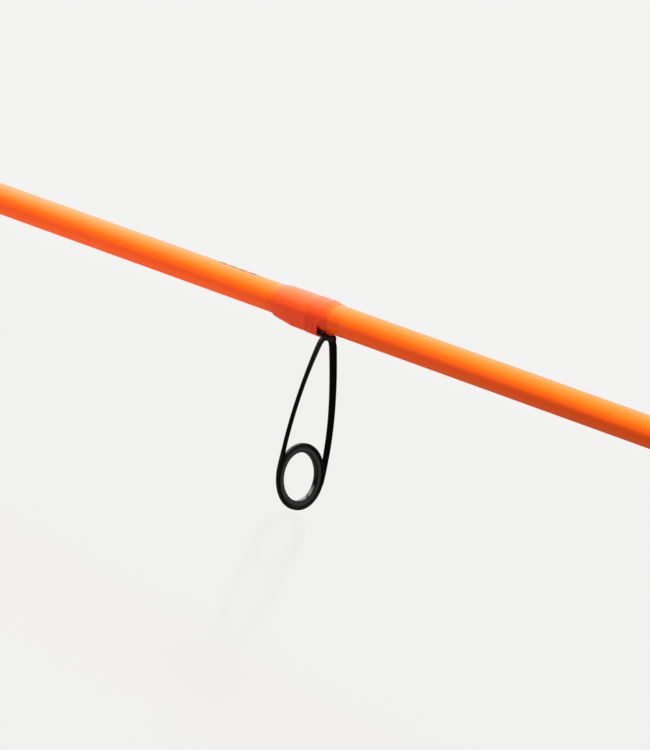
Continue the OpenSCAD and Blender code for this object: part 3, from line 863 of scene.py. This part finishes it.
def thread_loop(g, x, t, n, ahead=False):
    """Loop over blank and foot, or ahead of the legs over the blank alone, parted round them."""
    k, xa, xs = bend_k(g), g.root - g.foot - g.over, slit_x(g)
    w, z, e = under(g, x)
    dirs = loop_dirs(x, 0.0, 0.0, 0.2, n) if ahead else loop_dirs(x, w, z, e, n)
    room = clamp((g.root + PAST * k - x) / ((PAST - SLIT) * k))
    near = 1 - smooth(xs, xs + 1.2 * k, x)
    early = 0.8 * (1 - smooth(xa, xa + 4.0, x))
    out = []
    for a in dirs:
        # b: degrees from straight down
        b = math.degrees(abs(math.atan2(math.cos(a), -math.sin(a))))
        q = pull(a, rb(x), w, z, e, t)
        shift = -early * smooth(15, 75, 90 - b)
        if ahead:
            q = lerp(rb(x) + t, q, near * smooth(38, 58, b))
            shift = 1.15 * k * room * smooth(3, 45, 48 - b)
        out.append((x + shift, q * math.cos(a), q * math.sin(a)))
    return out


def thread_top(g, x):
    """Thickness of the thread at x: packed down at its start, tie-off turns over it near the legs."""
    k, xr, xa = bend_k(g), g.root, g.root - g.foot - g.over
    hump = smooth(xr - 2.9 * k, xr - 2.0 * k, x) * (1 - smooth(xr + 0.4 * k, xr + 2.2 * k, x))
    thin = 0.16 * (1 - smooth(xa, xa + 1.8, x)) + 0.16 * smooth(xr + 0.9 * k, xr + 2.4 * k, x)
    return THREAD_T - thin + 0.085 * hump


def guide_wrap(i, g, n):
    """Thread over a guide's foot and past its legs, with rounded ends."""
    x0, xs, x1 = g.root - g.foot - g.over, slit_x(g), g.root + PAST * bend_k(g)
    step = 0.35 if i == 1 else 0.6
    m = int((xs - x0) / step)
    # stations as (x, how much thinner)
    over = [(x0, 0.10), (x0 + 0.03, 0.05), (x0 + 0.08, 0.02), (x0 + 0.16, 0.0)]
    over += [(lerp(x0 + 0.2, xs, q / m), 0.0) for q in range(m + 1)]
    past = [(lerp(xs, x1 - 0.2, q / 6), 0.0) for q in range(7)]
    past += [(x1 - 0.13, 0.01), (x1 - 0.07, 0.03), (x1 - 0.02, 0.07), (x1, 0.12)]
    parts = []
    for stations, ahead in ((over, False), (past, True)):
        hi = [thread_loop(g, x, thread_top(g, x) - d, n, ahead) for x, d in stations]
        lo = [thread_loop(g, x, 0.02, n, ahead) for x, d in stations]
        parts.append(shell(hi, lo))
    nodes = (f"guide_{i}_wrap",)
    piece(f"guide_{i}_thread", join(*parts), THREAD, nodes, sharp=50)


def guide_coat(i, g, n):
    """Clear coat over the thread, thinning to nothing over the blank at both ends."""
    k = bend_k(g)
    xa, xs, xe = g.root - g.foot - g.over, slit_x(g), g.root + PAST * k
    x_in, x_out = xa - 1.5, xe + 2.6 * k
    over = [x_in + (xa - x_in) * q for q in (0, 0.08, 0.2, 0.35, 0.5, 0.65, 0.8, 0.92)]
    over += [xa - 0.01, xa + 0.01, xa + 0.12, xa + 0.3]
    step = 0.4 if i == 1 else 0.8
    m = int((xs - xa - 0.5) / step)
    over += [lerp(xa + 0.4, xs, q / m) for q in range(m + 1)]
    past = [lerp(xs, xe - 0.1, q / 6) for q in range(7)] + [xe - 0.005, xe + 0.03]
    past += [lerp(xe + 0.1, x_out, q / 12) for q in range(13)]
    parts = []
    for stations, ahead in ((over, False), (past, True)):
        lo, hi = [], []
        for x in stations:
            c = clamp((x - xe + 0.4 * k) / (x_out - xe + 0.4 * k))
            top = thread_top(g, min(x, xe)) + COAT_T
            least = thread_top(g, min(x, xe)) + 0.03 if x > xa else 0.012
            t = max(top * smooth(x_in - 0.15, xa + 0.45, x), least)
            t = lerp(t, 0.012, 1 - (1 - c) ** 2.2)
            t_in = thread_top(g, x) + 0.012 if xa <= x <= xe else 0.004
            hi.append(thread_loop(g, x, t, n, ahead))
            lo.append(thread_loop(g, x, min(t_in, t - 0.006), n, ahead))
        parts.append(shell(hi, lo))
    nodes = (f"guide_{i}_coat",)
    piece(f"guide_{i}_epoxy", join(*parts), COAT, nodes, sharp=60)


# -------- line guides

# down the legs, and along the axis of the ring
DOWN_LEG = Vector((math.sin(LEAN), 0, -math.cos(LEAN)))
RING_AXIS = Vector((math.cos(LEAN), 0, math.sin(LEAN)))


def bend_pt(g):
    """Where the legs' line meets the foot."""
    return Vector((g.root + 1.44 * bend_k(g), 0, -(rb(g.root) + FOOT_GAP + g.thick * 0.6)))


def ring_pt(g):
    """Middle of the ring."""
    return bend_pt(g) + DOWN_LEG * g.leg


def foot_mid_z(g):
    return -(rb(g.root) + FOOT_GAP + g.thick / 2)


def elbow(g):
    """Radius of the elbow, x of its start and its turn, from along the foot to down the legs."""
    r = 0.42 * bend_k(g)
    return r, leg_pt(g, r).x - r, math.pi / 2 - LEAN


def table(x, rows):
    """Value at x, straight between the rows."""
    for (x0, y0), (x1, y1) in zip(rows, rows[1:]):
        if x <= x1:
            return lerp(y0, y1, clamp((x - x0) / (x1 - x0)))
    return rows[-1][1]


def leg_end(g):
    """How far down the legs meet the ring."""
    return g.leg - 0.52 * g.ring


def leg_w(g, b):
    """Half the space between the legs, b down from the bend: bowed out to the ring's sides."""
    top = g.ring - 0.27 * bend_k(g)
    if b >= leg_end(g):
        return top
    return top - (top - g.half) * (1 - max(b, 0) / leg_end(g)) ** 1.83


def leg_pt(g, b):
    """Middle of the leg at -Y, b down from the bend."""
    k = bend_k(g)
    forward = 0.35 - 0.22 * (1 - smooth(0, 0.7 * g.leg, b))
    y = -leg_w(g, b) + 0.1 * k * smooth(g.leg, g.leg + 0.3 * g.ring, b)
    return bend_pt(g) + DOWN_LEG * b + RING_AXIS * forward * k + Vector((0, y, 0))


def strip_section(p, wa, ta, w, h, c):
    """Rounded rectangle of half sizes w and h along wa and ta, with corners of radius c."""
    out = []
    corners = ((w - c, h - c, 0), (c - w, h - c, 90), (c - w, c - h, 180), (w - c, c - h, 270))
    for cx, cy, a0 in corners:
        for k in range(4):
            a = math.radians(a0 + 30 * k)
            q = p + wa * (cx + c * math.cos(a)) + ta * (cy + c * math.sin(a))
            out.append(tuple(q))
    return out


def guide_leg(g, side):
    """One leg: out of the foot, round the elbow, down to the ring, wrapped into its side."""
    k = bend_k(g)
    bend_r, x_top, turn = elbow(g)
    y0, mid_z = -g.half, foot_mid_z(g)
    out = Vector((0, -1, 0))
    # stations: middle, outward, through the strip, twist, share past the ring's edge, place on the leg
    stations = []
    for s in (0.0, 0.5, 0.9):
        p = Vector((lerp(g.root - 1.2 * k, x_top, s), lerp(y0 + 0.25, y0, s), mid_z))
        stations.append((p, out, Vector((0, 0, 1)), 0.0, 0.0, 0.0))
    centre = Vector((x_top, y0, mid_z - bend_r))
    for j in range(8):
        a = turn * j / 7
        through = Vector((math.sin(a), 0, math.cos(a)))
        stations.append((centre + through * bend_r, out, through, TWIST * (a / turn * ELBOW_TWIST), 0.0, 0.0))
    elbow_end = stations[-1][0]
    b0 = (elbow_end - bend_pt(g)).dot(DOWN_LEG)
    end = g.leg + 0.34 * g.ring
    steps = 46
    for j in range(1, steps + 1):
        b = lerp(b0, end, j / steps)
        p = leg_pt(g, b)
        if b < b0 + 1.2 * k:
            # ease from the elbow's end on to the leg's line
            p = p.lerp(elbow_end + DOWN_LEG * (b - b0), 1 - smooth(b0, b0 + 1.2 * k, b))
        t = (leg_pt(g, b + 0.05) - leg_pt(g, b - 0.05)).normalized()
        o = t.cross(RING_AXIS).normalized()
        if o.y > 0:
            o = -o
        past = smooth(leg_end(g) * 0.9, g.leg, b)
        twist = TWIST * (ELBOW_TWIST + (1 - ELBOW_TWIST) * smooth(b0, b0 + 9 * k, b))
        stations.append((p, o, RING_AXIS, lerp(twist, RING_TWIST, past), past, b / g.leg))
    loops = []
    for i, (p, o, through, ang, past, along) in enumerate(stations):
        wa = o * math.cos(ang) + through * math.sin(ang)
        ta = through * math.cos(ang) - o * math.sin(ang)
        # the last few stations shrink, so that the leg's end sinks into the ring
        last = len(stations) - 1 - i
        s = (0.35, 0.62, 0.82, 0.95)[last] if last < 4 else 1.0
        w = g.width / 2 * s * table(along, ((0, 1.02), (0.3, 0.98), (0.6, 0.88), (1, 0.82)))
        h = g.thick / 2 * s * lerp(1.12 - 0.37 * past, 1.0, 1 - smooth(0, 0.08, along))
        loops.append(strip_section(p, wa, ta, w, h, h * 0.4))
    if side > 0:
        loops = [[(x, -y, z) for x, y, z in l] for l in loops]
    return loft(loops)


def hug(x, y, gap=0.03):
    """Height of the blank's underside at y, where the strip is pressed round it."""
    r = rb(x) + gap
    return -math.sqrt(max(r * r - y * y, 0.05))


def guide_foot(g):
    """Foot of the strip, hollow-ground above so that it sits on the blank, flat below."""
    k = bend_k(g)
    loops = []
    xe = bend_pt(g).x - 0.02 * k
    places = [1.0, 0.985, 0.94, 0.82, 0.7, FOOT_FLAT, 0.4, 0.2, 0.08, 0.0]
    # stations as (x, half width, thickness)
    pts = [(g.root - u * g.foot, foot_w(g, u), foot_t(g, u)) for u in places]
    w, t = foot_w(g, 0), foot_t(g, 0)
    pts += [(lerp(g.root, xe - 0.2 * k, q / 4), w, t) for q in (1, 2, 3, 4)]
    pts += [(xe - 0.05 * k, w - 0.06, t - 0.05), (xe, w - 0.14, t - 0.16)]
    for x, w, t in pts:
        w *= lerp(1.0, 0.72, smooth(g.root - 0.3 * k, xe, x))
        low = -rb(x) - FOOT_GAP - t
        c = min(0.18, t * 0.4)
        loop = [(x, w * (1 - q / 5), hug(x, w * (1 - q / 5))) for q in range(11)]
        for cy, a0 in ((c - w, 180), (w - c, 270)):
            for j in range(4):
                a = math.radians(a0 + 30 * j)
                loop.append((x, cy + c * math.cos(a), low + c + c * math.sin(a)))
        loops.append(loop)
    return loft(loops)


def guide_web(g):
    """The uncut strip between the legs: round the elbow, ending in a shallow arch."""
    k = bend_k(g)
    bend_r, x_top, turn = elbow(g)
    mid_z, h = foot_mid_z(g), g.thick / 2
    cols = 17
    loops = []
    for j in range(cols):
        v = 2 * j / (cols - 1) - 1
        y = v * g.half
        drop = (0.55 + 0.3 * v * v) * k
        # the strip's middle line in this column: (x, z, angle turned)
        path = [(x_top - 0.5 * k, mid_z, 0.0)]
        for q in range(7):
            a = turn * q / 6
            path.append((x_top + bend_r * math.sin(a), mid_z - bend_r + bend_r * math.cos(a), a))
        x, z, a = path[-1]
        path += [(x + DOWN_LEG.x * drop * q / 3, z + DOWN_LEG.z * drop * q / 3, a) for q in (1, 2, 3)]
        outer = [(x + h * math.sin(a), y, z + h * math.cos(a)) for x, z, a in path]
        inner = [(x - h * math.sin(a), y, z - h * math.cos(a)) for x, z, a in path]
        loops.append(inner + outer[::-1])
    return loft(loops)


def about_ring(centre, lean, profile, seg=96):
    """Turned ring about an axis that leans; profile is (radius, depth along the axis)."""
    n = Vector((math.cos(lean), 0, math.sin(lean)))
    u = Vector((math.sin(lean), 0, -math.cos(lean)))
    y = Vector((0, 1, 0))
    loops = []
    for r, d in profile:
        loops.append([
            tuple(centre + n * d + (u * math.cos(TAU * k / seg) + y * math.sin(TAU * k / seg)) * r)
            for k in range(seg)
        ])
    return ring_loft(loops)


def cup_profile(r, d, wall=0.52):
    """Ring cup: rounded outer edges and a thin lip that holds the insert."""
    return rounded([
        (r - wall, -d), (r - 0.16, -d), (r, -d + 0.16), (r, d - 0.16), (r - 0.16, d), (r - wall, d),
    ], 0.13, 3)


def insert_profile(ro, q, d):
    """Ceramic insert of outer radius ro and hole q: a flat face and a deep, rounded throat."""
    m = ro - q
    lip = 0.28 * m
    edge = [(ro, 0.8), (ro - 0.06 * m, 0.96), (ro - 0.16 * m, 0.96), (ro - 0.22 * m, 0.9)]
    pts = [(r, -h * d) for r, h in edge]
    for k in range(19):
        a = math.pi / 2 - math.pi * k / 18
        c, sn = math.cos(a), math.sin(a)
        pts.append((q + lip * (1 - c ** 0.8), -0.9 * d * math.copysign(abs(sn) ** 0.85, sn)))
    pts += [(r, h * d) for r, h in reversed(edge)]
    return rounded(pts, 0.04, 2)


def make_guide(i, g):
    """All pieces of guide i; the first one, seen close up in the photo, is finer."""
    n, seg = (96, 160) if i == 1 else (64, 96)
    guide_wrap(i, g, n)
    guide_coat(i, g, n)
    k = bend_k(g)
    cup = about_ring(ring_pt(g) + RING_AXIS * 0.36 * k, LEAN, cup_profile(g.ring, 0.24 + 0.036 * g.ring), seg)
    mesh = join(guide_foot(g), guide_web(g), guide_leg(g, -1), guide_leg(g, 1), cup)
    nodes = (f"guide_{i}_frame",)
    piece(f"guide_{i}_frame_stamped", mesh, BLACK, nodes, sharp=50)
    line = insert_profile(g.ring - 0.54, g.hole, 0.2 + 0.068 * g.ring)
    mesh = about_ring(ring_pt(g) + RING_AXIS * 0.04 * k, LEAN, line, seg)
    nodes = (f"guide_{i}_ring",)
    piece(f"guide_{i}_insert", mesh, CERAMIC, nodes, sharp=50)


for i, g in enumerate(GUIDES, 1):
    make_guide(i, g)

# -------- hook keeper


def keeper_pts():
    """Middle line of the keeper's wire: foot, loop, foot."""
    z = -rb(262) - 0.55
    pts = [(253 + 6.2 * k / 6, 0, z) for k in range(7)]
    for k in range(25):
        a = math.pi * k / 24
        pts.append((262.5 - 2.6 * math.cos(a), 0, z - 0.35 - 4.35 * math.sin(a) ** 0.9))
    pts += [(265.8 + 6.2 * k / 6, 0, z) for k in range(7)]
    return [Vector(p) for p in pts]


def wire(pts, r, n=16):
    """Round wire of radius r through pts, thinner at its ends."""
    y = Vector((0, 1, 0))
    last = len(pts) - 1
    loops = []
    for i, p in enumerate(pts):
        t = (pts[min(i + 1, last)] - pts[max(i - 1, 0)]).normalized()
        o = t.cross(y).normalized()
        e = min(i, last - i)
        s = (0.55, 0.85)[e] if e < 2 else 1.0
        loops.append([
            tuple(p + (y * math.cos(TAU * k / n) + o * math.sin(TAU * k / n)) * r * s) for k in range(n)
        ])
    return loft(loops)


mesh = wire(keeper_pts(), 0.44)
piece("hook_keeper_wire", mesh, BLACK, ("hook_keeper",), sharp=60)


def plain_shell(xa, xb, w, h, t0, thick, taper, n=64, step=0.4):
    """Wound band from xa to xb, t0 above blank and wire, with rounded ends of length taper."""
    m = max(3, int((xb - xa) / step))
    xs = [xa + (xb - xa) * k / m for k in range(m + 1)]
    xs = sorted(xs + [xa + 0.05, xa + 0.15, xb - 0.15, xb - 0.05])
    hi, lo = [], []
    for x in xs:
        e = clamp(min(x - xa, xb - x) / taper)
        t = t0 + 0.02 + (thick - 0.02) * math.sqrt(e)
        hi.append(wrap_loop(x, w, rb(x) + h, t, n))
        lo.append(wrap_loop(x, w, rb(x) + h, t0, n))
    return shell(hi, lo)


bands = [plain_shell(x, x + 6.4, 0.42, 1.0, 0.03, THREAD_T, 0.12) for x in (252.2, 266.4)]
piece("hook_keeper_thread", join(*bands), THREAD, ("hook_keeper_wraps",), sharp=50)
bands = [plain_shell(x, x + 7.8, 0.42, 1.0, 0.05 + THREAD_T, COAT_T, 0.9) for x in (251.5, 265.7)]
piece("hook_keeper_epoxy", join(*bands), COAT, ("hook_keeper_coats",), sharp=60)

# -------- tip-top

turned("tip_tube_drawn", [
    (rb(679) + 0.04, 679), (1.6, 679), (1.75, 679.3), (1.75, 693.5), (1.3, 694.4), (0.4, 694.4),
    (0.4, 690.2), (rb(690) + 0.04, 690.2),
], BLACK, 0.25, ("tip_tube",), seg=64)
TIP_C = Vector((695.9, 0, -3.4))
TIP_LEAN = math.radians(20)


def strut(s):
    """Wire from the tip's tube to one side of its ring."""
    ends = [(682, s * 1.6, -1.0, 0.3), (686, s * 1.95, -1.75, 0.4), (690, s * 2.3, -2.5, 0.42),
            (693, s * 2.56, -3.15, 0.42), (695.9, s * 2.72, -3.7, 0.4)]
    loops = [[(x, y + r * math.cos(TAU * k / 14), z + r * math.sin(TAU * k / 14)) for k in range(14)]
             for x, y, z, r in ends]
    return loft(loops)


cup = about_ring(TIP_C, TIP_LEAN, cup_profile(2.9, 0.75, 0.5), 80)
mesh = join(cup, strut(1), strut(-1))
piece("tip_frame_wire", mesh, BLACK, ("tip_frame",), sharp=50)
mesh = about_ring(TIP_C, TIP_LEAN, insert_profile(2.39, 1.6, 0.72), 80)
piece("tip_insert", mesh, CERAMIC, ("tip_ring",), sharp=50)
mesh = plain_shell(668.5, 678.8, 0.1, 0.0, 0.02, THREAD_T, 0.12)
piece("tip_thread", mesh, THREAD, ("tip_wrap",), sharp=50)
mesh = plain_shell(667.8, 678.9, 0.1, 0.0, 0.04 + THREAD_T, COAT_T, 0.9)
piece("tip_epoxy", mesh, COAT, ("tip_coat",), sharp=60)

# -------- stage, light, camera

BG = (0.893, 0.893, 0.887, 1)
sc = bpy.context.scene
sc.view_settings.view_transform = "Standard"
world = bpy.data.worlds.new("studio")
sc.world = world
world.use_nodes = True
world.cycles.sampling_method = "NONE"
world.node_tree.nodes.clear()
wt = Tree(world.node_tree)
w_tc = wt.node("ShaderNodeTexCoord")
w_lp = wt.node("ShaderNodeLightPath")


def w_lobe(direction, lo, hi, strength):
    """Soft round light in a direction: from dark at cosine lo to full at cosine hi."""
    dot = wt.node("ShaderNodeVectorMath", operation="DOT_PRODUCT")
    wt.link(w_tc.outputs["Generated"], dot.inputs[0])
    dot.inputs[1].default_value = Vector(direction).normalized()
    return wt.remap(dot.outputs["Value"], lo, hi, 0.0, strength, "SMOOTHSTEP")


softbox = w_lobe((-0.458, -0.222, 0.861), 0.526, 0.94, 2.7)
back_wall = w_lobe((-0.67, 0.74, 0.05), 0.55, 0.9, 0.9)
side_card = w_lobe((0.62, 0.74, 0.22), 0.86, 0.985, 0.29)
lights = wt.plus(wt.plus(softbox, back_wall), side_card)
# what mirrored rays see, and what all other light from the room adds
room = wt.node("ShaderNodeMix", data_type="FLOAT")
wt.link(w_lp.outputs["Is Glossy Ray"], room.inputs[0])
room.inputs[2].default_value = 0.34
wt.link(wt.plus(lights, 0.03), room.inputs[3])
w_bg = wt.node("ShaderNodeBackground")
w_bg.inputs["Color"].default_value = BG
w_amb = wt.node("ShaderNodeBackground")
wt.link(room.outputs[0], w_amb.inputs["Strength"])
w_amb.inputs["Color"].default_value = (1, 1, 1, 1)
w_out = wt.node("ShaderNodeOutputWorld")
studio = wt.blend(w_lp.outputs["Is Camera Ray"], w_amb.outputs[0], w_bg.outputs[0])
wt.link(studio, w_out.inputs["Surface"])

# floor: a pale disc that fades into the background
FLOOR_Z = cad_lo[2] - 0.0002
FLOOR_X = 0.35
radii = [0.2, 0.5, 1.0, 1.6]
seg = 64
verts = [(FLOOR_X, 0, FLOOR_Z)]
for r in radii:
    for k in range(seg):
        verts.append((FLOOR_X + r * math.cos(TAU * k / seg), r * math.sin(TAU * k / seg), FLOOR_Z))
faces = []
for k in range(seg):
    k2 = (k + 1) % seg
    faces.append((0, 1 + k, 1 + k2))
    for q in range(len(radii) - 1):
        a, b = 1 + q * seg, 1 + (q + 1) * seg
        faces.append((a + k, b + k, b + k2, a + k2))
me = bpy.data.meshes.new("floor")
me.from_pydata(verts, [], faces)
floor = bpy.data.objects.new("floor", me)
sc.collection.objects.link(floor)
fm = Mat("floor_pale")
fm.tree.nodes.remove(fm.shader)
path = fm.node("ShaderNodeLightPath")
geo = fm.node("ShaderNodeNewGeometry")
place = fm.node("ShaderNodeSeparateXYZ")
fm.link(geo.outputs["Position"], place.inputs[0])
off_x = fm.math("POWER", fm.math("SUBTRACT", place.outputs[0], FLOOR_X), 2.0)
dist = fm.math("SQRT", fm.plus(off_x, fm.math("POWER", place.outputs[1], 2.0)))
fade = fm.remap(dist, 0.45, 1.5, 1.0, 0.0, "SMOOTHSTEP")
glow = fm.node("ShaderNodeEmission")
tint = fm.mix(path.outputs["Is Camera Ray"], col(0.893, 0.77, 0.71), BG)
fm.link(tint, glow.inputs["Color"])


def pick(flag, off, on):
    """Value on where the flag is 1, value off where it is 0."""
    return fm.plus(fm.times(flag, on), fm.times(fm.math("SUBTRACT", 1.0, flag), off))


# the sweep is brighter on the handle's side, and dimmer in reflections than in its light
sweep = fm.remap(place.outputs[0], 0.345, 0.42, 1.36, 0.62)
unseen = pick(path.outputs["Is Glossy Ray"], sweep, 0.16)
fm.link(pick(path.outputs["Is Camera Ray"], unseen, 0.985), glow.inputs["Strength"])
gloss = fm.node("ShaderNodeBsdfGlossy")
gloss.inputs["Roughness"].default_value = 0.16
clear = fm.node("ShaderNodeBsdfTransparent")
sheen = fm.blend(0.045, glow.outputs[0], gloss.outputs[0])
fm.link(fm.blend(fade, clear.outputs[0], sheen), fm.out.inputs["Surface"])
fm.material.cycles.emission_sampling = "NONE"
me.materials.append(fm.material)

key = bpy.data.lights.new("key_overhead", "SUN")
key.energy = 9.8
key.angle = 0.5
key_ob = bpy.data.objects.new("key_overhead", key)
key_ob.rotation_mode = "QUATERNION"
key_ob.rotation_quaternion = Vector((0, 0.28, -0.96)).to_track_quat("-Z", "Y")
key_ob.visible_glossy = False
sc.collection.objects.link(key_ob)

cam = bpy.data.cameras.new("camera")
cam.lens = 103.68
cam.sensor_width = 36
cam.clip_start = 0.01
cam.clip_end = 30
cam_ob = bpy.data.objects.new("camera", cam)
# right, up and place, fitted to the photo
right = Vector((0.69510, 0.63902, 0.32933))
upv = Vector((-0.26853, -0.19415, 0.94350))
back = right.cross(upv).normalized()
upv = back.cross(right).normalized()
cam_ob.matrix_world = Matrix((
    (right.x, upv.x, back.x, (GUIDE_1_X + 242.37) * MM),
    (right.y, upv.y, back.y, -266.32 * MM),
    (right.z, upv.z, back.z, 3.81 * MM),
    (0, 0, 0, 1),
))
sc.collection.objects.link(cam_ob)
sc.camera = cam_ob
